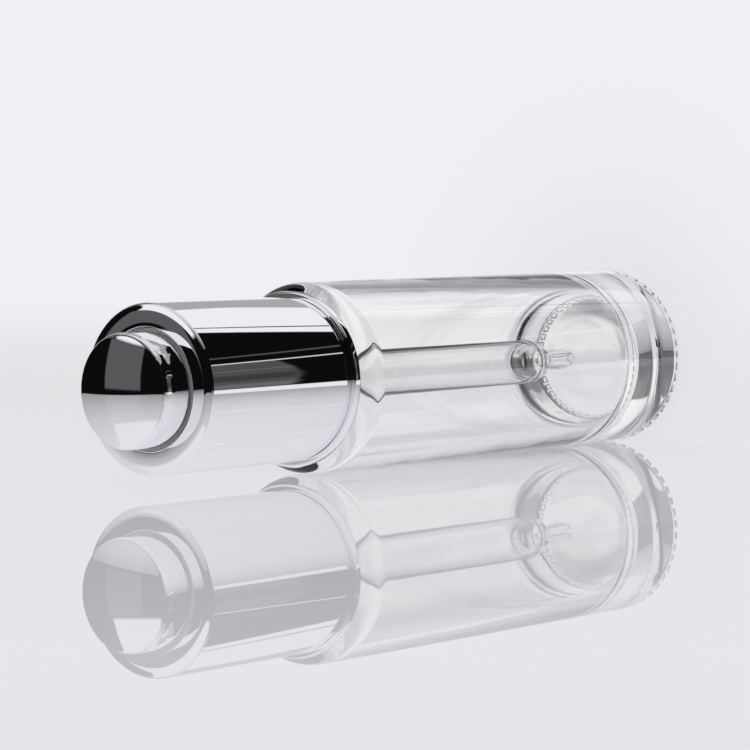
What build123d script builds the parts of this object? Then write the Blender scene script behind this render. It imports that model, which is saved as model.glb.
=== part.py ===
from build123d import *
import os

# Push-button dropper bottle, standing upright. Millimetres, origin at the centre of the base, +Z up.

# Glass bottle
body_radius = 14.0
body_height = 79.4
body_wall = 2.0
floor_thickness = 7.3
shoulder_thickness = 2.4
shoulder_round = 2.2
heel_round = 1.8
inner_floor_round = 1.6
inner_shoulder_round = 2.4
bearing_width = 3.8
push_up_height = 0.7
neck_radius = 8.7
neck_bore_radius = 6.25
neck_height = 9.4
neck_foot_round = 0.6
neck_throat_round = 0.9
lip_round = 0.5

# Screw thread of the neck, which sets how far the closure rises as it is undone
thread_depth = 1.08
thread_pitch = 3.175
thread_turns = 1

# Wiper pressed into the neck
wiper_flange_thickness = 0.8
wiper_flange_inset = 0.3
wiper_length = 6.8
wiper_wall = 0.6
wiper_bead_rise = 0.1
wiper_bead_height = 1.0
wiper_cone_height = 2.2
wiper_lip_thickness = 0.7

# Soft washer on the lip
washer_thickness = 1.2
washer_inset = 0.4

# Glass pipette
pipette_radius = 3.5
pipette_wall = 0.9
pipette_tip_level = 12.3
nozzle_length = 8.0
nozzle_radius = 1.75
nozzle_neck_radius = 1.35
nozzle_end_radius = 1.1
nozzle_bore_radius = 0.6
nozzle_shoulder_length = 2.3

# Holder that carries the pipette and the bulb
holder_flange_thickness = 1.2
holder_wall = 1.1
holder_spigot_length = 5.6
holder_bead_rise = 0.6
holder_bead_height = 1.0
holder_stop_thickness = 0.9
barb_count = 2
barb_pitch = 2.4
barb_rise = 0.3

# Rubber bulb
bulb_wall = 1.5
bulb_height = 14.4
bulb_foot_height = 1.8
bulb_foot_rise = 0.5
bulb_foot_round = 0.4

# Threaded inner cap with the chamber of the bulb
cap_wall = 1.6
cap_roof_thickness = 1.2
chamber_wall = 1.2
bulge_room = 1.2
flute_count = 24
flute_width = 2.0
flute_depth = 0.3

# Bright sleeve over the inner cap
collar_height = 29.35
collar_wall = 0.4
collar_edge_round = 0.38
collar_lip_depth = 1.2
collar_lip_round = 0.3

# Bright ring at the foot of the sleeve
ring_overhang = 0.78
ring_height = 1.4
ring_edge_round = 0.35
ring_groove_height = 0.25
ring_groove_depth = 0.2
ring_ledge_width = 0.9
ring_ledge_thickness = 0.4

# Button and the plunger in it
button_face_width = 3.46
button_stand_out = 4.75
button_dome_rise = 1.05
button_wall = 0.5
button_edge_round = 0.35
button_travel = 3.5
flange_thickness = 1.6
flange_width = 1.36
socket_height = 3.2
socket_wall = 1.2
foot_radius = 4.2
foot_wall = 1.1
tab_count = 4
tab_width = 2.4
tab_length = 0.8

# Guide of the button
guide_web_thickness = 1.2
guide_skirt_wall = 1.1

# Clearances
foot_gap = 0.4
moving_gap = 0.3
stop_gap = 0.1
thread_gap = 0.22
wiping_gap = 0.1

# Heights that follow from the stack of pieces
lip_level = body_height + neck_height
washer_level = lip_level + wiper_flange_thickness
holder_level = washer_level + washer_thickness
bulb_level = holder_level + holder_flange_thickness
bulb_top_level = bulb_level + bulb_height
ring_level = body_height + foot_gap
collar_level = ring_level + ring_height + ring_groove_height
face_level = collar_level + collar_height
rim_level = face_level + button_stand_out
button_skirt_level = face_level - collar_lip_depth - stop_gap
flange_level = button_skirt_level - flange_thickness
guide_floor_level = flange_level - button_travel - moving_gap
cap_foot_level = ring_level + ring_ledge_thickness
cap_ledge_level = bulb_level + stop_gap
cap_roof_level = cap_ledge_level + cap_roof_thickness
barb_top_level = bulb_level + (barb_count + 0.25) * barb_pitch
pipette_top_level = barb_top_level - holder_stop_thickness
closure_rise = thread_pitch * thread_turns

# Radii that follow from the fits
push_up_radius = body_radius - bearing_width
cap_bore_radius = neck_radius + thread_depth + thread_gap
cap_radius = cap_bore_radius + cap_wall
collar_radius = cap_radius + collar_wall
ring_radius = collar_radius + ring_overhang
hole_radius = collar_radius - button_face_width
button_radius = hole_radius - moving_gap
pipette_bore_radius = pipette_radius - pipette_wall
spigot_radius = pipette_radius + holder_wall
washer_radius = cap_bore_radius - washer_inset
washer_bore_radius = spigot_radius + moving_gap
barb_radius = spigot_radius + barb_rise
bulb_radius = barb_radius + bulb_wall
chamber_radius = bulb_radius + bulge_room
chamber_outer_radius = chamber_radius + chamber_wall
button_bore_radius = button_radius - button_wall
flange_radius = button_radius + flange_width
guide_bore_radius = flange_radius + moving_gap


def turned(outline, rounds=()):
    """Turns a closed outline of radius and height about the axis, with the listed corners rounded."""
    face = make_face(outline)
    for corner, radius in rounds:
        vertex = face.vertices().sort_by_distance(corner)[0]
        face = fillet(vertex, radius)
    return revolve(Plane.XZ * face, Axis.Z)


def closed(*points):
    """A closed outline of straight lines through (radius, height) points."""
    return Polyline(*points, close=True)


def dome(rise, radius, level):
    """A shallow arc from the axis down to the point at that radius and level."""
    return TangentArc((0, level + rise), (radius, level), tangent=(1, 0))


def around(count, radius, level, block):
    """Copies of a block, evenly spaced about the axis at that radius and level."""
    places = Location((0, 0, level)) * PolarLocations(radius, count)
    return [place * block for place in places]


def make_bottle():
    """Clear glass bottle, blown with a thick base, a hollowed underside and a short neck."""
    floor_level = floor_thickness
    inner_radius = body_radius - body_wall
    ceiling_level = body_height - shoulder_thickness
    walls = Polyline(
        (push_up_radius, 0),
        (body_radius, 0),
        (body_radius, body_height),
        (neck_radius, body_height),
        (neck_radius, lip_level),
        (neck_bore_radius, lip_level),
        (neck_bore_radius, ceiling_level),
        (inner_radius, ceiling_level),
        (inner_radius, floor_level),
        (0, floor_level),
        (0, push_up_height),
    )
    rounds = [
        ((body_radius, 0), heel_round),
        ((body_radius, body_height), shoulder_round),
        ((neck_radius, body_height), neck_foot_round),
        ((neck_radius, lip_level), lip_round),
        ((neck_bore_radius, ceiling_level), neck_throat_round),
        ((inner_radius, ceiling_level), inner_shoulder_round),
        ((inner_radius, floor_level), inner_floor_round),
    ]
    return turned(walls + dome(push_up_height, push_up_radius, 0), rounds)


def make_wiper():
    """Soft plug held in the neck by two beads, with a conical lip that wipes the pipette."""
    foot_level = lip_level - wiper_length
    plug_radius = neck_bore_radius - wiper_bead_rise
    mouth_radius = plug_radius - wiper_wall
    orifice_radius = pipette_radius + wiping_gap
    cone_level = foot_level + wiper_lip_thickness
    plug = turned(
        closed(
            (neck_radius - wiper_flange_inset, lip_level),
            (neck_radius - wiper_flange_inset, washer_level),
            (mouth_radius, washer_level),
            (mouth_radius, cone_level + wiper_cone_height),
            (orifice_radius, cone_level),
            (orifice_radius, foot_level),
            (mouth_radius, foot_level + wiper_cone_height),
            (plug_radius, foot_level + wiper_cone_height),
            (plug_radius, lip_level),
        )
    )
    top_bead = lip_level - 2 * wiper_bead_height
    low_bead = foot_level + wiper_cone_height + wiper_bead_height
    for bead_level in (low_bead, top_bead):
        plug += turned(
            closed(
                (mouth_radius, bead_level - wiper_bead_height / 2),
                (plug_radius, bead_level - wiper_bead_height / 2),
                (neck_bore_radius, bead_level),
                (plug_radius, bead_level + wiper_bead_height / 2),
                (mouth_radius, bead_level + wiper_bead_height / 2),
            )
        )
    return plug


def make_sealing_washer():
    """Flat soft washer that the holder's flange presses onto the lip."""
    return turned(
        closed(
            (washer_bore_radius, washer_level),
            (washer_radius, washer_level),
            (washer_radius, holder_level),
            (washer_bore_radius, holder_level),
        )
    )


def make_pipette():
    """Glass tube drawn down to a narrow, slightly swollen nozzle with a rounded end."""
    neck_level = pipette_tip_level + nozzle_length
    shoulder_level = neck_level + nozzle_shoulder_length
    swell_level = pipette_tip_level + nozzle_length / 2
    nozzle = ThreePointArc(
        (nozzle_end_radius, pipette_tip_level), (nozzle_radius, swell_level), (nozzle_neck_radius, neck_level)
    )
    rest = Polyline(
        (nozzle_neck_radius, neck_level),
        (pipette_radius, shoulder_level),
        (pipette_radius, pipette_top_level),
        (pipette_bore_radius, pipette_top_level),
        (pipette_bore_radius, shoulder_level),
        (nozzle_bore_radius, neck_level),
        (nozzle_bore_radius, pipette_tip_level),
        (nozzle_end_radius, pipette_tip_level),
    )
    rounds = [
        ((pipette_radius, shoulder_level), nozzle_shoulder_length),
        ((pipette_bore_radius, shoulder_level), nozzle_shoulder_length),
    ]
    return turned(nozzle + rest, rounds)


def make_pipette_holder():
    """Bushing with a flange: the pipette pushes up into it, and the bulb grips its barbs."""
    spigot_level = holder_level - holder_spigot_length
    bead_radius = spigot_radius + holder_bead_rise
    bead_level = spigot_level + holder_bead_height
    barbs = []
    for index in range(barb_count):
        low = bulb_level + (index + 0.5) * barb_pitch
        barbs += [(spigot_radius, low), (barb_radius, low), (spigot_radius, low + barb_pitch / 2)]
    return turned(
        closed(
            (pipette_radius, spigot_level),
            (spigot_radius, spigot_level),
            (bead_radius, bead_level),
            (spigot_radius, bead_level),
            (spigot_radius, holder_level),
            (washer_radius, holder_level),
            (washer_radius, bulb_level),
            (spigot_radius, bulb_level),
            *barbs,
            (spigot_radius, barb_top_level),
            (pipette_bore_radius, barb_top_level),
            (pipette_bore_radius, pipette_top_level),
            (pipette_radius, pipette_top_level),
        )
    )


def make_bulb():
    """Rubber bulb with a domed end and a thick foot that grips the holder's barbs."""
    foot_radius_outer = bulb_radius + bulb_foot_rise
    dome_level = bulb_top_level - bulb_radius
    inner_top_level = bulb_top_level - bulb_wall
    outer_dome = TangentArc((0, bulb_top_level), (bulb_radius, dome_level), tangent=(1, 0))
    inner_dome = TangentArc((0, inner_top_level), (barb_radius, dome_level), tangent=(1, 0))
    outside = Polyline(
        (bulb_radius, dome_level),
        (bulb_radius, bulb_level + bulb_foot_height),
        (foot_radius_outer, bulb_level + bulb_foot_height),
        (foot_radius_outer, bulb_level),
        (barb_radius, bulb_level),
        (barb_radius, dome_level),
    )
    middle = Line((0, inner_top_level), (0, bulb_top_level))
    rounds = [((foot_radius_outer, bulb_level + bulb_foot_height), bulb_foot_round)]
    return turned(outer_dome + outside + inner_dome + middle, rounds)


def make_inner_cap():
    """Cap that screws on the neck, with a ledge on the holder's flange and a chamber for the bulb.

    Flutes down its outside leave narrow ribs, which the sleeve and the ring are pressed over.
    """
    cap = turned(
        closed(
            (cap_bore_radius, cap_foot_level),
            (cap_radius, cap_foot_level),
            (cap_radius, cap_roof_level),
            (chamber_outer_radius, cap_roof_level),
            (chamber_outer_radius, guide_floor_level),
            (chamber_radius, guide_floor_level),
            (chamber_radius, cap_ledge_level),
            (cap_bore_radius, cap_ledge_level),
        )
    )
    flute = Box(
        2 * flute_depth,
        flute_width,
        cap_roof_level - cap_foot_level,
        align=(Align.MIN, Align.CENTER, Align.MIN),
    )
    return cap - around(flute_count, cap_radius - flute_depth, cap_foot_level, flute)


def make_button_guide():
    """Sleeve pressed over the chamber, with four grooves that keep the button from turning."""
    web_level = guide_floor_level - guide_web_thickness
    skirt_bore_radius = cap_radius - guide_skirt_wall
    top_level = face_level - collar_wall
    sleeve = turned(
        closed(
            (skirt_bore_radius, cap_roof_level),
            (cap_radius, cap_roof_level),
            (cap_radius, top_level),
            (guide_bore_radius, top_level),
            (guide_bore_radius, guide_floor_level),
            (chamber_outer_radius, guide_floor_level),
            (chamber_outer_radius, web_level),
            (skirt_bore_radius, web_level),
        )
    )
    groove_radius = flange_radius + tab_length + moving_gap
    groove = Box(
        groove_radius - chamber_outer_radius,
        tab_width + 2 * moving_gap,
        top_level - guide_floor_level,
        align=(Align.MAX, Align.CENTER, Align.MIN),
    )
    return sleeve - around(tab_count, groove_radius, guide_floor_level, groove)


def make_collar_shell():
    """Drawn aluminium sleeve with a flat face, whose hole is turned inwards around the button."""
    lip_radius = hole_radius + collar_wall
    under_face_level = face_level - collar_wall
    rounds = [
        ((collar_radius, face_level), collar_edge_round),
        ((hole_radius, face_level), collar_lip_round),
    ]
    return turned(
        closed(
            (cap_radius, collar_level),
            (collar_radius, collar_level),
            (collar_radius, face_level),
            (hole_radius, face_level),
            (hole_radius, face_level - collar_lip_depth),
            (lip_radius, face_level - collar_lip_depth),
            (lip_radius, under_face_level),
            (cap_radius, under_face_level),
        ),
        rounds,
    )


def make_base_ring():
    """Bright ring pushed up over the cap's foot until its spacer meets the sleeve."""
    groove_radius = collar_radius - ring_groove_depth
    top_level = ring_level + ring_height
    rounds = [
        ((ring_radius, ring_level), ring_edge_round),
        ((ring_radius, top_level), ring_edge_round),
    ]
    return turned(
        closed(
            (cap_radius - ring_ledge_width, ring_level),
            (ring_radius, ring_level),
            (ring_radius, top_level),
            (groove_radius, top_level),
            (groove_radius, collar_level),
            (cap_radius, collar_level),
            (cap_radius, cap_foot_level),
            (cap_radius - ring_ledge_width, cap_foot_level),
        ),
        rounds,
    )


def make_button_cap():
    """Bright cup with a gently domed end."""
    inner_rim_level = rim_level - button_wall
    skirt = Polyline(
        (button_radius, rim_level),
        (button_radius, button_skirt_level),
        (button_bore_radius, button_skirt_level),
        (button_bore_radius, inner_rim_level),
    )
    outside = dome(button_dome_rise, button_radius, rim_level)
    inside = dome(button_dome_rise, button_bore_radius, inner_rim_level)
    middle = Line((0, inner_rim_level + button_dome_rise), (0, rim_level + button_dome_rise))
    rounds = [((button_radius, rim_level), button_edge_round)]
    return turned(outside + skirt + inside + middle, rounds)


def make_button_plunger():
    """Insert in the button: a socket ring, a flange with four guide tabs and a foot on the bulb."""
    foot_level = bulb_top_level + stop_gap
    insert = turned(
        closed(
            (0, foot_level),
            (foot_radius, foot_level),
            (foot_radius, flange_level),
            (flange_radius, flange_level),
            (flange_radius, button_skirt_level),
            (button_bore_radius, button_skirt_level),
            (button_bore_radius, button_skirt_level + socket_height),
            (button_bore_radius - socket_wall, button_skirt_level + socket_height),
            (button_bore_radius - socket_wall, button_skirt_level),
            (foot_radius - foot_wall, button_skirt_level),
            (foot_radius - foot_wall, foot_level + foot_wall),
            (0, foot_level + foot_wall),
        )
    )
    tab_radius = flange_radius + tab_length
    tab = Box(
        tab_radius - foot_radius,
        tab_width,
        flange_thickness,
        align=(Align.MAX, Align.CENTER, Align.MIN),
    )
    return insert + around(tab_count, tab_radius, flange_level, tab)


parts = {
    "bottle": make_bottle(),
    "wiper": make_wiper(),
    "sealing_washer": make_sealing_washer(),
    "pipette": make_pipette(),
    "pipette_holder": make_pipette_holder(),
    "bulb": make_bulb(),
    "inner_cap": make_inner_cap(),
    "button_guide": make_button_guide(),
    "collar_shell": make_collar_shell(),
    "base_ring": make_base_ring(),
    "button_cap": make_button_cap(),
    "button_plunger": make_button_plunger(),
}

os.makedirs("parts", exist_ok=True)
for name, solid in parts.items():
    export_step(solid, f"parts/{name}.step")

print(f"closure rises {closure_rise} mm as it is undone")
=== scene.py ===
import bmesh
import bpy
from math import acos, atan2, cos, degrees, pi, radians, sin, tan
from mathutils import Matrix, Vector


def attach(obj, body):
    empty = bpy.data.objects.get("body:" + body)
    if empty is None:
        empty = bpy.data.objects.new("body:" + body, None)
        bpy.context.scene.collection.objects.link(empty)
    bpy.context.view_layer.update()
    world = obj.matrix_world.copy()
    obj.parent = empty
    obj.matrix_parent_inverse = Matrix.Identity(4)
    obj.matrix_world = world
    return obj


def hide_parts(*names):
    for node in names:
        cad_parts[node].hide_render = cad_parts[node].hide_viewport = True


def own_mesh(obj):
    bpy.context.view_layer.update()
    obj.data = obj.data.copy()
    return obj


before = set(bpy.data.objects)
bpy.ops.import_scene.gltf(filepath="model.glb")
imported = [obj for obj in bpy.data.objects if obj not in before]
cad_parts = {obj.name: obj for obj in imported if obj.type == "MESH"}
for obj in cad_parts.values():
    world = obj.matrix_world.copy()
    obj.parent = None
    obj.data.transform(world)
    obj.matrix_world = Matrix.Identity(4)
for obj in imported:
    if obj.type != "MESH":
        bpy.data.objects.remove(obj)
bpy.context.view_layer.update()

# Bottle. Clear flint glass, blown in a mould: a straight wall, a thick base with a hollowed underside and a
# finish with one turn of thread. Short bars moulded round the heel keep the hot glass off the conveyor.
mm = 0.001
body_radius, body_height, body_wall = 14.0, 79.4, 2.0
base_thickness, shoulder_thickness = 7.3, 2.4
bearing_width, push_up = 3.8, 0.7
neck_radius, neck_bore, neck_height = 8.7, 6.25, 9.4
thread_depth, thread_pitch, thread_start = 1.08, 3.175, 82.6
heel_round, heel_bars, bar_length, bar_rise = 1.8, 45, 1.1, 0.5


def half_section(corners, closed=False):
    """The outline of half a turned piece, from (radius, height, rounding) corners in millimetres."""
    bm = bmesh.new()
    ends = [bm.verts.new((radius * mm, 0, height * mm)) for radius, height, rounding in corners]
    for start, end in zip(ends, ends[1:] + ends[:1] if closed else ends[1:]):
        bm.edges.new((start, end))
    setbacks = []
    for index, (radius, height, rounding) in enumerate(corners):
        if rounding:
            here = ends[index].co
            before, after = ends[index - 1].co - here, ends[(index + 1) % len(ends)].co - here
            setbacks.append((ends[index], rounding * mm / tan(before.angle(after) / 2)))
    for corner, setback in setbacks:
        bmesh.ops.bevel(
            bm,
            geom=[corner],
            offset=setback,
            offset_type="OFFSET",
            segments=10,
            profile=0.5,
            affect="VERTICES",
            material=-1,
        )
    return bm


def turn(bm, steps):
    """Spins a half section round the axis into a closed skin whose faces point outwards."""
    bmesh.ops.spin(
        bm,
        geom=bm.verts[:] + bm.edges[:],
        cent=(0, 0, 0),
        axis=(0, 0, 1),
        dvec=(0, 0, 0),
        angle=2 * pi,
        steps=steps,
        use_merge=True,
    )
    bmesh.ops.remove_doubles(bm, verts=bm.verts, dist=1e-7)
    bmesh.ops.recalc_face_normals(bm, faces=bm.faces)


def finished_piece(bm, name, body, finish, slot, *nodes, sharp=radians(28)):
    """Makes the mesh an object that rides on its body and stands for its nodes."""
    mesh = bpy.data.meshes.new(name)
    bm.to_mesh(mesh)
    bm.free()
    mesh.shade_smooth()
    mesh.set_sharp_from_angle(angle=sharp)
    mesh.materials.append(finish)
    piece = bpy.data.objects.new(name, mesh)
    bpy.context.scene.collection.objects.link(piece)
    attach(piece, body)
    if nodes:
        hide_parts(*nodes)
    return piece


def colour(code):
    """An sRGB hex colour as linear red, green, blue and alpha."""
    parts = [int(code[i : i + 2], 16) / 255 for i in (1, 3, 5)]
    return [v / 12.92 if v <= 0.04045 else ((v + 0.055) / 1.055) ** 2.4 for v in parts] + [1.0]


def add_node(tree, kind, settings=None, **links):
    """Adds a node. Settings are its properties or sockets; links join its sockets to other nodes' outputs."""
    node = tree.nodes.new(kind)
    for key, value in (settings or {}).items():
        if isinstance(key, int) or key in node.inputs:
            node.inputs[key].default_value = value
        else:
            setattr(node, key, value)
    for key, source in links.items():
        socket = node.inputs[int(key[1:])] if key[1:].isdigit() else node.inputs[key.replace("_", " ")]
        tree.links.new(source, socket)
    return node


def new_finish(name):
    """A material with one Principled shader, wired to its output."""
    finish = bpy.data.materials.new(name)
    finish.use_nodes = True
    tree = finish.node_tree
    shader = tree.nodes["Principled BSDF"]
    place = add_node(tree, "ShaderNodeTexCoord").outputs["Object"]
    return finish, tree, shader, place


def smooth_step(value):
    value = min(1.0, max(0.0, value))
    return value * value * (3 - 2 * value)


inner_radius = body_radius - body_wall
lip_level = body_height + neck_height
ceiling = body_height - shoulder_thickness
bearing_radius = body_radius - bearing_width
bottle = half_section(
    [
        (0, push_up, 0),
        (bearing_radius * 0.55, push_up * 0.72, 0),
        (bearing_radius, 0, 0),
        (body_radius, 0, heel_round),
        (body_radius, body_height, 2.2),
        (neck_radius, body_height, 0.6),
        (neck_radius, lip_level, 0.5),
        (neck_bore, lip_level, 0.4),
        (neck_bore, ceiling, 0.9),
        (inner_radius, ceiling, 2.4),
        (inner_radius, base_thickness, 7.0),
        (0, base_thickness, 0),
    ]
)
neck_side = [
    edge
    for edge in bottle.edges
    if all(abs(v.co.x - neck_radius * mm) < 1e-6 for v in edge.verts)
]
bmesh.ops.subdivide_edges(bottle, edges=neck_side, cuts=56)
turn(bottle, 360)
bar_angle = 2 * pi / heel_bars
heel_centre = body_radius - heel_round
for vertex in bottle.verts:
    radius, height = vertex.co.to_2d().length / mm, vertex.co.z / mm
    around = atan2(vertex.co.y, vertex.co.x)
    outward = Vector((cos(around), sin(around), 0))
    if height < heel_round and radius > heel_centre:
        slope = degrees(atan2(heel_round - height, radius - heel_centre))
        across = abs((around / bar_angle) % 1 - 0.5) * bar_angle * radius
        rise = smooth_step((bar_length / 2 + 0.12 - across) / 0.24) * smooth_step((20 - abs(slope - 45)) / 8)
        vertex.co += (outward - Vector((0, 0, 1))).normalized() * rise * bar_rise * mm
    elif abs(radius - neck_radius) < 0.01 and body_height + 1 < height < lip_level - 0.6:
        turned = (around % (2 * pi)) / (2 * pi)
        off_crest = abs(height - thread_start - turned * thread_pitch)
        fade = smooth_step(turned / 0.06) * smooth_step((1 - turned) / 0.06)
        rise = smooth_step((1.05 - off_crest) / 0.75) * fade
        vertex.co += outward * rise * thread_depth * mm

# The glass is bright flint with a fire-polished skin, so all that the eye gets is its edges, a very slight
# unevenness left by the mould, and the room bent through its thick parts.
glass, tree, shader, place = new_finish("flint glass, blown and fire-polished")
shader.inputs["Base Color"].default_value = colour("#FFFFFF")
shader.inputs["Transmission Weight"].default_value = 1.0
shader.inputs["IOR"].default_value = 1.52
shader.inputs["Roughness"].default_value = 0.0
mould_waves = add_node(tree, "ShaderNodeTexNoise", {"Scale": 1 / (9 * mm), "Detail": 1.0}, Vector=place)
skin = add_node(
    tree,
    "ShaderNodeBump",
    {"Strength": 0.10, "Distance": 0.2 * mm},
    Height=mould_waves.outputs["Fac"],
)
tree.links.new(skin.outputs["Normal"], shader.inputs["Normal"])
finished_piece(bottle, "glass_bottle", "bottle", glass, "clear_glass", "bottle")

# Wiper and washer. Natural low-density polyethylene, injection moulded: milky, soft and slightly waxy. The
# wiper is pressed into the neck, and the washer lies between its flange and the dropper's.
polyethylene, tree, shader, place = new_finish("natural polyethylene, moulded")
shader.inputs["Roughness"].default_value = 0.42
shader.inputs["IOR"].default_value = 1.51
shader.inputs["Subsurface Weight"].default_value = 0.35
shader.inputs["Subsurface Radius"].default_value = (1.0, 1.0, 1.0)
shader.inputs["Subsurface Scale"].default_value = 0.8 * mm
milkiness = add_node(tree, "ShaderNodeTexNoise", {"Scale": 1 / (2.5 * mm), "Detail": 3.0}, Vector=place)
tint = add_node(tree, "ShaderNodeValToRGB", {}, Fac=milkiness.outputs["Fac"])
tint.color_ramp.elements[0].position, tint.color_ramp.elements[0].color = 0.3, colour("#E9ECEB")
tint.color_ramp.elements[1].position, tint.color_ramp.elements[1].color = 0.7, colour("#F4F6F5")
tree.links.new(tint.outputs["Color"], shader.inputs["Base Color"])
grain = add_node(tree, "ShaderNodeTexNoise", {"Scale": 1 / (0.25 * mm), "Detail": 2.0}, Vector=place)
skin = add_node(tree, "ShaderNodeBump", {"Strength": 0.25, "Distance": 0.02 * mm}, Height=grain.outputs["Fac"])
tree.links.new(skin.outputs["Normal"], shader.inputs["Normal"])


def dress(node, finish):
    """Gives a CAD node that stays its real finish."""
    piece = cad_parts[node]
    piece.data.materials.clear()
    piece.data.materials.append(finish)


dress("wiper", polyethylene)
dress("sealing_washer", polyethylene)

# Pipette. A clear glass tube, its end heated and drawn down to a narrow nozzle that swells slightly and is
# fire-rounded at the tip. It is pushed up into the holder and hangs down the middle of the bottle.
pipette_radius, pipette_wall = 3.5, 0.5
tip_level, neck_level, tube_level, top_level = 12.3, 20.3, 22.6, 96.5
nozzle_bore = 0.6
pipette = half_section(
    [
        (nozzle_bore, tip_level, 0.2),
        (1.1, tip_level, 0.25),
        (1.62, tip_level + 2.1, 2.5),
        (1.72, tip_level + 4.2, 3.0),
        (1.35, neck_level, 2.6),
        (pipette_radius - 0.35, tube_level - 0.6, 1.6),
        (pipette_radius, tube_level + 1.6, 2.5),
        (pipette_radius, top_level, 0.15),
        (pipette_radius - pipette_wall, top_level, 0.15),
        (pipette_radius - pipette_wall, tube_level + 1.4, 2.5),
        (nozzle_bore + 0.2, neck_level + 0.2, 1.2),
        (nozzle_bore, neck_level - 1.8, 0),
    ],
    closed=True,
)
turn(pipette, 160)
tube_glass, tree, shader, place = new_finish("borosilicate glass, drawn tube")
shader.inputs["Base Color"].default_value = colour("#FFFFFF")
shader.inputs["Transmission Weight"].default_value = 1.0
shader.inputs["IOR"].default_value = 1.25
shader.inputs["Roughness"].default_value = 0.0
draw_lines = add_node(tree, "ShaderNodeMapping", {"Scale": (1, 1, 0.02)}, Vector=place)
draw_lines = add_node(
    tree, "ShaderNodeTexNoise", {"Scale": 1 / (1.2 * mm), "Detail": 1.0}, Vector=draw_lines.outputs["Vector"]
)
skin = add_node(tree, "ShaderNodeBump", {"Strength": 0.05, "Distance": 0.05 * mm}, Height=draw_lines.outputs["Fac"])
tree.links.new(skin.outputs["Normal"], shader.inputs["Normal"])
finished_piece(pipette, "glass_pipette", "dropper", tube_glass, "clear_glass", "pipette")

# Holder, inner cap, button guide and plunger. White polypropylene, injection moulded: a satin skin with the
# fine grain of the spark-eroded mould. They are hidden by the bright sleeve until the closure comes off.
polypropylene, tree, shader, place = new_finish("white polypropylene, moulded")
shader.inputs["IOR"].default_value = 1.49
shader.inputs["Subsurface Weight"].default_value = 0.12
shader.inputs["Subsurface Radius"].default_value = (1.0, 1.0, 1.0)
shader.inputs["Subsurface Scale"].default_value = 0.5 * mm
flow = add_node(tree, "ShaderNodeTexNoise", {"Scale": 1 / (6 * mm), "Detail": 2.0}, Vector=place)
tint = add_node(tree, "ShaderNodeValToRGB", {}, Fac=flow.outputs["Fac"])
tint.color_ramp.elements[0].position, tint.color_ramp.elements[0].color = 0.3, colour("#ECECEA")
tint.color_ramp.elements[1].position, tint.color_ramp.elements[1].color = 0.7, colour("#F3F3F1")
tree.links.new(tint.outputs["Color"], shader.inputs["Base Color"])
gloss = add_node(tree, "ShaderNodeMapRange", {"To Min": 0.32, "To Max": 0.44}, Value=flow.outputs["Fac"])
tree.links.new(gloss.outputs["Result"], shader.inputs["Roughness"])
grain = add_node(tree, "ShaderNodeTexNoise", {"Scale": 1 / (0.12 * mm), "Detail": 2.0}, Vector=place)
skin = add_node(tree, "ShaderNodeBump", {"Strength": 0.3, "Distance": 0.01 * mm}, Height=grain.outputs["Fac"])
tree.links.new(skin.outputs["Normal"], shader.inputs["Normal"])
for node in ("pipette_holder", "inner_cap", "button_guide", "button_plunger"):
    dress(node, polypropylene)

# Bulb. White nitrile rubber, compression moulded: matt, with a faint bloom. Its thick foot grips the
# holder's barbs, and the plunger squeezes its domed end.
bulb_level, bulb_height, bulb_radius, bulb_wall = 92.0, 14.4, 6.4, 1.5
bulb_top, foot_height = bulb_level + bulb_height, 1.8
bulb = half_section(
    [
        (0, bulb_top, 0),
        (bulb_radius, bulb_top, bulb_radius - 0.02),
        (bulb_radius, bulb_level + foot_height, 0.3),
        (bulb_radius + 0.5, bulb_level + foot_height, 0.4),
        (bulb_radius + 0.5, bulb_level, 0.2),
        (bulb_radius - bulb_wall, bulb_level, 0.2),
        (bulb_radius - bulb_wall, bulb_top - bulb_wall, bulb_radius - bulb_wall - 0.02),
        (0, bulb_top - bulb_wall, 0),
    ]
)
turn(bulb, 96)
rubber, tree, shader, place = new_finish("white nitrile rubber, moulded")
shader.inputs["IOR"].default_value = 1.52
shader.inputs["Sheen Weight"].default_value = 0.15
shader.inputs["Sheen Roughness"].default_value = 0.5
bloom = add_node(tree, "ShaderNodeTexNoise", {"Scale": 1 / (1.6 * mm), "Detail": 4.0}, Vector=place)
tint = add_node(tree, "ShaderNodeValToRGB", {}, Fac=bloom.outputs["Fac"])
tint.color_ramp.elements[0].position, tint.color_ramp.elements[0].color = 0.35, colour("#DDDDD9")
tint.color_ramp.elements[1].position, tint.color_ramp.elements[1].color = 0.7, colour("#E8E8E4")
tree.links.new(tint.outputs["Color"], shader.inputs["Base Color"])
gloss = add_node(tree, "ShaderNodeMapRange", {"To Min": 0.5, "To Max": 0.68}, Value=bloom.outputs["Fac"])
tree.links.new(gloss.outputs["Result"], shader.inputs["Roughness"])
bulb_piece = finished_piece(bulb, "rubber_bulb", "dropper", rubber, "white_rubber", "bulb")
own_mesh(bulb_piece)

# Sleeve. Drawn aluminium, polished and bright anodised, then pressed over the inner cap. Its flat face has a
# hole for the button, turned inwards round the edge.
sleeve_level, face_level, sleeve_radius, sleeve_wall = 81.45, 110.8, 12.0, 0.4
hole_radius, hole_depth = 8.54, 1.2
sleeve = half_section(
    [
        (sleeve_radius - sleeve_wall, sleeve_level, 0),
        (sleeve_radius, sleeve_level, 0.06),
        (sleeve_radius, face_level - 0.36, 0.3),
        (sleeve_radius - 0.38, face_level - 0.3, 0),
        (sleeve_radius - 0.8, face_level - 0.12, 0),
        (sleeve_radius - 1.55, face_level, 0),
        (hole_radius, face_level, 0.22),
        (hole_radius, face_level - hole_depth, 0),
        (hole_radius + sleeve_wall, face_level - hole_depth, 0),
        (hole_radius + sleeve_wall, face_level - sleeve_wall, 0.1),
        (sleeve_radius - sleeve_wall, face_level - sleeve_wall, 0.1),
    ],
    closed=True,
)
turn(sleeve, 256)

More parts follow.
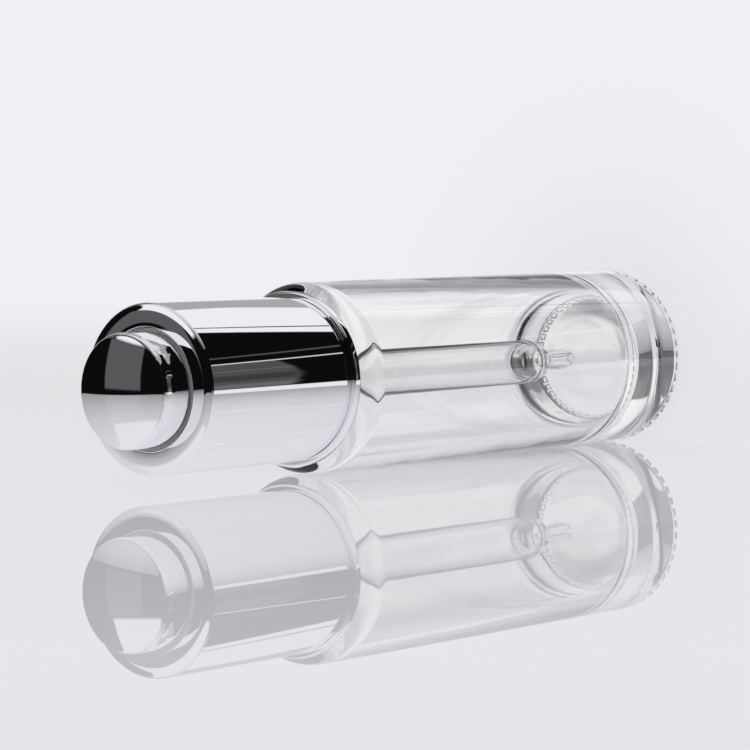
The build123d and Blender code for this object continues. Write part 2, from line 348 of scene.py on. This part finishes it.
# The finish is a mirror: polished before anodising, so that it keeps only hairlines too fine to see one by
# one. They are drawn about ten times coarser here, as a faint change of gloss.
aluminium, tree, shader, place = new_finish("bright anodised aluminium, polished")
shader.inputs["Base Color"].default_value = colour("#F4F4F6")
shader.inputs["Metallic"].default_value = 1.0
hairlines = add_node(tree, "ShaderNodeMapping", {"Scale": (1, 1, 9)}, Vector=place)
hairlines = add_node(
    tree, "ShaderNodeTexNoise", {"Scale": 1 / (2.0 * mm), "Detail": 4.0}, Vector=hairlines.outputs["Vector"]
)
gloss = add_node(tree, "ShaderNodeMapRange", {"To Min": 0.008, "To Max": 0.035}, Value=hairlines.outputs["Fac"])
tree.links.new(gloss.outputs["Result"], shader.inputs["Roughness"])
swell = add_node(tree, "ShaderNodeTexNoise", {"Scale": 1 / (7 * mm), "Detail": 1.0}, Vector=place)
skin = add_node(tree, "ShaderNodeBump", {"Strength": 0.02, "Distance": 0.2 * mm}, Height=swell.outputs["Fac"])
tree.links.new(skin.outputs["Normal"], shader.inputs["Normal"])
finished_piece(sleeve, "bright_sleeve", "closure", aluminium, "bright_aluminium", "collar_shell")

# Ring at the foot of the sleeve. Aluminium with the same finish, pressed up over the inner cap's foot. It
# stands a little proud of the sleeve, with a fine groove between the two.
ring_level, ring_height, ring_radius = 79.8, 1.4, 12.78
groove_height, groove_radius = 0.25, 11.8
ring = half_section(
    [
        (sleeve_radius - sleeve_wall - 0.9, ring_level, 0),
        (ring_radius, ring_level, 0.35),
        (ring_radius, ring_level + ring_height, 0.35),
        (groove_radius, ring_level + ring_height, 0),
        (groove_radius, ring_level + ring_height + groove_height, 0),
        (sleeve_radius - sleeve_wall, ring_level + ring_height + groove_height, 0),
        (sleeve_radius - sleeve_wall, ring_level + 0.4, 0),
        (sleeve_radius - sleeve_wall - 0.9, ring_level + 0.4, 0),
    ],
    closed=True,
)
turn(ring, 256)
finished_piece(ring, "bright_ring", "closure", aluminium, "bright_aluminium", "base_ring")

# Button. An aluminium cup with a gently domed end and a small rounded edge, finished as the sleeve is and
# pressed over the plunger. It slides in the sleeve's hole.
button_radius, button_wall, rim_level, dome_rise, skirt_level = 8.1, 0.5, 115.55, 1.05, 109.5
button = bmesh.new()
dome_radius = (button_radius**2 + dome_rise**2) / (2 * dome_rise)
for wall in (0, button_wall):
    edge_angle = acos((dome_radius - dome_rise) / dome_radius) * (1 - wall / button_radius)
    top = button.verts.new((0, 0, (rim_level + dome_rise - wall) * mm))
    bmesh.ops.spin(
        button,
        geom=[top],
        cent=(0, 0, (rim_level + dome_rise - dome_radius) * mm),
        axis=(0, 1, 0),
        angle=edge_angle,
        steps=40,
    )
button.verts.ensure_lookup_table()
rims = sorted(button.verts, key=lambda v: v.co.x)[-2:]
rims.sort(key=lambda v: v.co.z)
feet = [
    button.verts.new(((button_radius - wall) * mm, 0, skirt_level * mm)) for wall in (button_wall, 0)
]
for rim, wall in zip(rims, (button_wall, 0)):
    rim.co.x = (button_radius - wall) * mm
for rim, foot in zip(rims, feet):
    button.edges.new((rim, foot))
button.edges.new(feet)
bmesh.ops.bevel(
    button,
    geom=[rims[1]],
    offset=0.7 * mm,
    offset_type="OFFSET",
    segments=10,
    profile=0.5,
    affect="VERTICES",
    material=-1,
)
turn(button, 256)
finished_piece(button, "bright_button", "button", aluminium, "bright_aluminium", "button_cap")

# Setting. The photograph was taken with the bottle lying on a pale table, so the directions of that picture
# are worked out here: the bottle's axis points away from the camera, at this angle to its line of sight.
lie = radians(39.142)
away = Vector((0, 0, -1))
table_normal = Vector((1, -1, 0)).normalized()
along_table = Vector((-1, -1, 0)).normalized()
picture_right = sin(lie) * away + cos(lie) * along_table
picture_forward = cos(lie) * away - sin(lie) * along_table

# Table. Pale glossy acrylic under the lying bottle, which touches it along its side. It mirrors as acrylic
# does at that grazing angle, and only faintly when it is seen from the front. It glows evenly of itself, in
# place of lamps under it, and its far end and its right side fade into the backdrop.
table_level = -14.05
left, right, near, far = -230, 115, -620, 700
fade_start, fade_end = 120, 650
side_fade_start = 80
table = bmesh.new()
corners = []
for across, ahead in ((left, near), (right, near), (right, far), (left, far)):
    spot = picture_right * across + picture_forward * ahead + table_normal * table_level
    corners.append(table.verts.new(spot * mm))
table.faces.new(corners)
table_mesh = bpy.data.meshes.new("table_top")
table.to_mesh(table_mesh)
table.free()
acrylic = bpy.data.materials.new("pale acrylic, polished")
acrylic.use_nodes = True
tree = acrylic.node_tree
tree.nodes.clear()
matt = add_node(tree, "ShaderNodeBsdfDiffuse", {"Color": colour("#F4F3F8")})
glow = add_node(tree, "ShaderNodeEmission", {"Color": colour("#EFEEF3")})
lit_through = add_node(tree, "ShaderNodeMixShader", {0: 0.86}, _1=matt.outputs[0], _2=glow.outputs[0])
mirror = add_node(tree, "ShaderNodeBsdfGlossy", {"Roughness": 0.0})
edge_on = add_node(tree, "ShaderNodeFresnel", {"IOR": 1.5})
share = add_node(tree, "ShaderNodeMath", {"operation": "MULTIPLY", 1: 0.95}, _0=edge_on.outputs["Fac"])
top = add_node(
    tree, "ShaderNodeMixShader", {}, _0=share.outputs[0], _1=lit_through.outputs[0], _2=mirror.outputs[0]
)
clear = add_node(tree, "ShaderNodeBsdfTransparent")
side = add_node(tree, "ShaderNodeNewGeometry")
ahead = add_node(
    tree, "ShaderNodeVectorMath", {"operation": "DOT_PRODUCT", 1: picture_forward}, _0=side.outputs["Position"]
)
gone = add_node(
    tree,
    "ShaderNodeMapRange",
    {"interpolation_type": "SMOOTHSTEP", "From Min": fade_start * mm, "From Max": fade_end * mm},
    Value=ahead.outputs["Value"],
)
across = add_node(
    tree, "ShaderNodeVectorMath", {"operation": "DOT_PRODUCT", 1: picture_right}, _0=side.outputs["Position"]
)
gone_aside = add_node(
    tree,
    "ShaderNodeMapRange",
    {"interpolation_type": "SMOOTHSTEP", "From Min": side_fade_start * mm, "From Max": right * mm},
    Value=across.outputs["Value"],
)
faded = add_node(
    tree, "ShaderNodeMath", {"operation": "MAXIMUM"}, _0=gone.outputs["Result"], _1=gone_aside.outputs["Result"]
)
hidden = add_node(
    tree, "ShaderNodeMath", {"operation": "MAXIMUM"}, _0=side.outputs["Backfacing"], _1=faded.outputs[0]
)
both = add_node(tree, "ShaderNodeMixShader", {}, _0=hidden.outputs[0], _1=top.outputs[0], _2=clear.outputs[0])
add_node(tree, "ShaderNodeOutputMaterial", {}, Surface=both.outputs[0])
table_mesh.materials.append(acrylic)
table_piece = bpy.data.objects.new("table_top", table_mesh)
bpy.context.scene.collection.objects.link(table_piece)

# Floor. Plain pale paper that the bottle stands on, seen from the other sides. It fades into the backdrop a
# few centimetres from the bottle, so that no edge of it shows.
paper_start, paper_end = 17, 48
paper = bmesh.new()
bmesh.ops.create_grid(paper, x_segments=1, y_segments=1, size=0.15)
paper_mesh = bpy.data.meshes.new("paper_floor")
paper.to_mesh(paper_mesh)
paper.free()
sheet = bpy.data.materials.new("pale paper, matt")
sheet.use_nodes = True
tree = sheet.node_tree
tree.nodes.clear()
matt = add_node(tree, "ShaderNodeBsdfDiffuse", {"Color": colour("#EFEEF3")})
glow = add_node(tree, "ShaderNodeEmission", {"Color": colour("#F0EFF4")})
bright = add_node(tree, "ShaderNodeMixShader", {0: 0.72}, _1=matt.outputs[0], _2=glow.outputs[0])
clear = add_node(tree, "ShaderNodeBsdfTransparent")
spot = add_node(tree, "ShaderNodeNewGeometry").outputs["Position"]
reach = add_node(tree, "ShaderNodeVectorMath", {"operation": "LENGTH"}, _0=spot)
gone = add_node(
    tree,
    "ShaderNodeMapRange",
    {"interpolation_type": "SMOOTHSTEP", "From Min": paper_start * mm, "From Max": paper_end * mm},
    Value=reach.outputs["Value"],
)
both = add_node(
    tree, "ShaderNodeMixShader", {}, _0=gone.outputs["Result"], _1=bright.outputs[0], _2=clear.outputs[0]
)
add_node(tree, "ShaderNodeOutputMaterial", {}, Surface=both.outputs[0])
paper_mesh.materials.append(sheet)
floor = bpy.data.objects.new("paper_floor", paper_mesh)
bpy.context.scene.collection.objects.link(floor)
floor.visible_glossy = False
floor.visible_transmission = False

# Room. Metal and glass show what stands round a product table: a white backdrop, bright panels above it on
# both sides, and the dark room behind the camera. Matt surfaces get one plain even light.
room = bpy.data.worlds.new("studio")
bpy.context.scene.world = room
room.use_nodes = True
tree = room.node_tree
tree.nodes.clear()
sight = add_node(tree, "ShaderNodeTexCoord").outputs["Generated"]
parts = []
for direction in (picture_right, picture_forward, table_normal):
    parts.append(
        add_node(tree, "ShaderNodeVectorMath", {"operation": "DOT_PRODUCT", 1: direction}, _0=sight).outputs["Value"]
    )
turned = add_node(tree, "ShaderNodeMath", {"operation": "ARCTAN2"}, _0=parts[0], _1=parts[1])
raised = add_node(tree, "ShaderNodeMath", {"operation": "ARCSINE"}, _0=parts[2])
heading = add_node(tree, "ShaderNodeMath", {"operation": "DEGREES"}, _0=turned.outputs[0]).outputs[0]
elevation = add_node(tree, "ShaderNodeMath", {"operation": "DEGREES"}, _0=raised.outputs[0]).outputs[0]
# Each zone has its lowest and highest heading, its lowest and highest elevation, the softness of its edge, its
# brightness, and how far its sides lean over for each degree that it rises, all but brightness in degrees.
zones = (
    ("ceiling", -181, 181, 12, 95, 4.0, 0.43, 0),
    ("light overhead", -181, 181, 60, 95, 5.0, 0.80, 0),
    ("dark room, right", 51.3, 181, -6, 46, 0.4, 0.004, 0),
    ("dark room, left", -181, -62, -6, 46, 0.6, 0.004, 0),
    ("panel, right", 8.5, 51.4, 31, 58, 0.7, 0.95, 0),
    ("joint of the panel", 43.2, 44.6, 31, 58, 0.3, 0.02, 0),
    ("panel, left", -135, -91, 15.5, 45, 0.8, 0.95, 0),
    ("grey wall, left", -112, -88, -2.75, 15.0, 0.6, 0.11, 0),
    ("shelf, right", 79.3, 112, -1.0, 21.5, 0.4, 0.085, 0.17),
    ("shelf, its dark boards", 79.3, 112, 5.5, 10.5, 0.9, 0.05, 0.17),
    ("shelf, its low board", 79.3, 112, -1.0, 2.6, 0.9, 0.15, 0.17),
    ("shelf, a fine joint", 79.3, 112, 14.2, 14.8, 0.2, 0.16, 0.17),
    ("shelf, its top edge", 66, 112, 20.9, 21.7, 0.2, 0.75, 0.17),
    ("rail above the shelf", 60, 112, 26.2, 27.2, 0.3, 0.09, 0.17),
    ("lit table edge, right", 40, 125, -6, -1.6, 0.3, 0.9, 0),
    ("ground", -181, 181, -95, -6, 0.4, 0.75, 0),
)
level = None
for name, low, high, bottom, top_edge, soft, brightness, lean in zones:
    leaning = add_node(
        tree, "ShaderNodeMath", {"operation": "MULTIPLY_ADD", 1: lean}, _0=elevation, _2=heading
    ).outputs[0]
    masks = []
    for value, edge, sign in ((leaning, low, 1), (leaning, high, -1), (elevation, bottom, 1), (elevation, top_edge, -1)):
        masks.append(
            add_node(
                tree,
                "ShaderNodeMapRange",
                {
                    "interpolation_type": "SMOOTHSTEP",
                    "From Min": edge - soft,
                    "From Max": edge + soft,
                    "To Min": 0 if sign > 0 else 1,
                    "To Max": 1 if sign > 0 else 0,
                },
                Value=value,
            ).outputs["Result"]
        )
    mask = masks[0]
    for other in masks[1:]:
        mask = add_node(tree, "ShaderNodeMath", {"operation": "MULTIPLY"}, _0=mask, _1=other).outputs[0]
    paint = add_node(tree, "ShaderNodeMix", {"data_type": "FLOAT", 3: brightness}, _0=mask)
    if level is None:
        paint.inputs[2].default_value = 0.94
    else:
        tree.links.new(level, paint.inputs[2])
    level = paint.outputs[0]
ray = add_node(tree, "ShaderNodeLightPath")
shown = add_node(tree, "ShaderNodeBackground", {"Color": colour("#F0EFF4")})
around = add_node(tree, "ShaderNodeBackground", {"Color": colour("#FCFCFF")}, Strength=level)
even = add_node(tree, "ShaderNodeBackground", {"Color": (1, 1, 1, 1), "Strength": 1.0})
# Light bent by the glass comes from a room lit more evenly than the one that the metal mirrors, with soft
# blue-grey clouds between its lamps.
clouds = add_node(tree, "ShaderNodeTexNoise", {"Scale": 3.2, "Detail": 2.0, "Roughness": 0.45}, Vector=sight)
cloud_tint = add_node(tree, "ShaderNodeValToRGB", {}, Fac=clouds.outputs["Fac"])
cloud_tint.color_ramp.elements[0].position, cloud_tint.color_ramp.elements[0].color = 0.36, colour("#C9CDD8")
cloud_tint.color_ramp.elements[1].position, cloud_tint.color_ramp.elements[1].color = 0.54, colour("#FFFFFF")
softened = add_node(tree, "ShaderNodeMath", {"operation": "MULTIPLY_ADD", 1: 0.82, 2: 0.17}, _0=level)
through = add_node(
    tree, "ShaderNodeBackground", {}, Color=cloud_tint.outputs["Color"], Strength=softened.outputs[0]
)
bent = add_node(
    tree, "ShaderNodeMixShader", {}, _0=ray.outputs["Is Transmission Ray"], _1=around.outputs[0], _2=through.outputs[0]
)
seen = add_node(
    tree, "ShaderNodeMixShader", {}, _0=ray.outputs["Is Camera Ray"], _1=bent.outputs[0], _2=shown.outputs[0]
)
lit = add_node(
    tree, "ShaderNodeMixShader", {}, _0=ray.outputs["Is Diffuse Ray"], _1=seen.outputs[0], _2=even.outputs[0]
)
add_node(tree, "ShaderNodeOutputWorld", {}, Surface=lit.outputs[0])

# Camera. A long lens close to the table top, turned so that the standing bottle lies across its picture.
pitch, roll = radians(3.435), radians(-0.058)
line_of_sight = cos(pitch) * picture_forward - sin(pitch) * table_normal
picture_up = sin(pitch) * picture_forward + cos(pitch) * table_normal
camera_right = cos(roll) * picture_right + sin(roll) * picture_up
camera_up = cos(roll) * picture_up - sin(roll) * picture_right
lens = bpy.data.cameras.new("camera")
lens.sensor_width, lens.lens = 36.0, 3141.1 / 750 * 36.0
lens.clip_start, lens.clip_end = 0.02, 30.0
camera = bpy.data.objects.new("camera", lens)
bpy.context.scene.collection.objects.link(camera)
stand = (-38.54 * picture_right - 517.06 * picture_forward + 27.878 * table_normal) * mm
axes = Matrix((camera_right, camera_up, -line_of_sight)).transposed().to_4x4()
camera.matrix_world = Matrix.Translation(stand) @ axes
bpy.context.scene.camera = camera
bpy.context.scene.view_settings.view_transform = "Standard"
